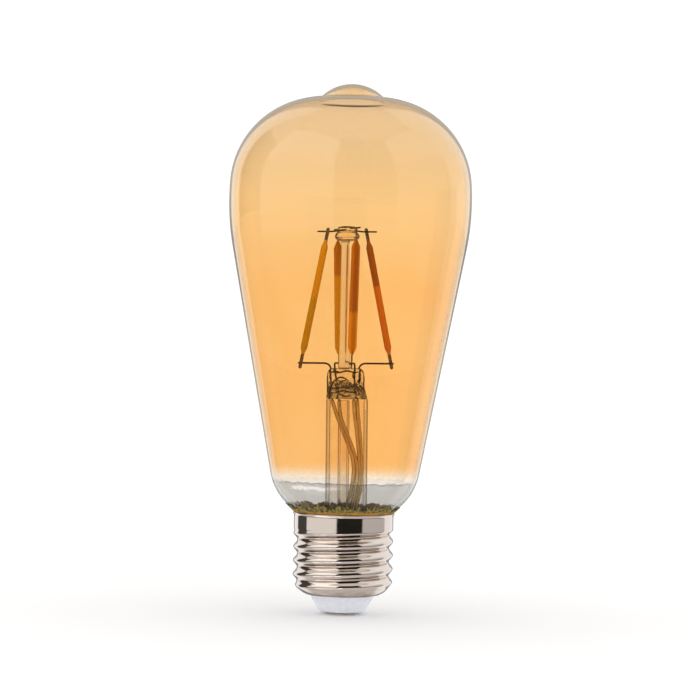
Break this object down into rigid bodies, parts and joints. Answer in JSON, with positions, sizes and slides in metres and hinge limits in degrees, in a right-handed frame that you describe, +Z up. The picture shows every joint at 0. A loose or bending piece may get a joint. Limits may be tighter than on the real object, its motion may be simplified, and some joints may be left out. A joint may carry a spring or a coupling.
{
  "type": "smart light bulb",
  "caption": "Pear-shaped amber glass filament lamp on a nickel screw cap: clear glass stem, wire cage of golden and orange LED filaments, wireless driver boards inside the cap.",
  "frame": {"origin": "on the lamp's axis at the underside of the centre contact, the lowest point of the lamp", "axes": "+Z runs up the lamp's axis from the contact to the glass tip. -Y faces the viewer and +X is to the viewer's right."},
  "size_m": [0.0642, 0.0642, 0.14],
  "materials": {
    "amber_glass": "gloss",
    "clear_glass": "gloss",
    "nickel": "polished",
    "contact_metal": "satin",
    "insulator": "satin",
    "cement": "matte",
    "golden_phosphor": "satin",
    "amber_phosphor": "satin",
    "tab_metal": "satin",
    "wire_metal": "satin",
    "lead_sleeve": "satin",
    "laminate": "satin",
    "black_plastic": "satin",
    "can_sleeve": "gloss",
    "resistor_body": "satin",
    "ferrite": "matte",
    "copper": "satin",
    "shield_metal": "satin",
    "white_sleeve": "satin",
    "black_sleeve": "satin"
  },
  "bodies": {
    "root": {"glass_envelope": "amber_glass", "screw_shell": "nickel", "cap_insulator": "insulator", "centre_contact": "contact_metal", "basing_cement": "cement", "stem_flare_tube": "clear_glass", "stem_press": "clear_glass", "exhaust_tube": "clear_glass", "support_rod": "clear_glass", "rod_button": "clear_glass", "anchor_wire_side_to_side": "wire_metal", "anchor_wire_front_to_back": "wire_metal", "filament_left": "golden_phosphor", "filament_left_top_tab": "tab_metal", "filament_left_foot_tab": "tab_metal", "filament_right": "amber_phosphor", "filament_right_top_tab": "tab_metal", "filament_right_foot_tab": "tab_metal", "filament_front": "amber_phosphor", "filament_front_top_tab": "tab_metal", "filament_front_foot_tab": "tab_metal", "filament_back": "golden_phosphor", "filament_back_top_tab": "tab_metal", "filament_back_foot_tab": "tab_metal", "lead_wire_left": "wire_metal", "outer_lead_left": "lead_sleeve", "lead_wire_back": "wire_metal", "outer_lead_back": "lead_sleeve", "lead_wire_front": "wire_metal", "outer_lead_front": "lead_sleeve", "lead_wire_right": "wire_metal", "outer_lead_right": "lead_sleeve", "driver_board": "laminate", "bridge_rectifier": "black_plastic", "led_driver_chip": "black_plastic", "smoothing_capacitor": "can_sleeve", "inductor_core": "ferrite", "inductor_winding": "copper", "fusible_resistor": "resistor_body", "radio_header": "black_plastic", "radio_board": "laminate", "radio_shield_can": "shield_metal", "radio_antenna": "copper", "live_wire": "black_sleeve", "neutral_wire": "white_sleeve"}
  },
  "joints": []
}
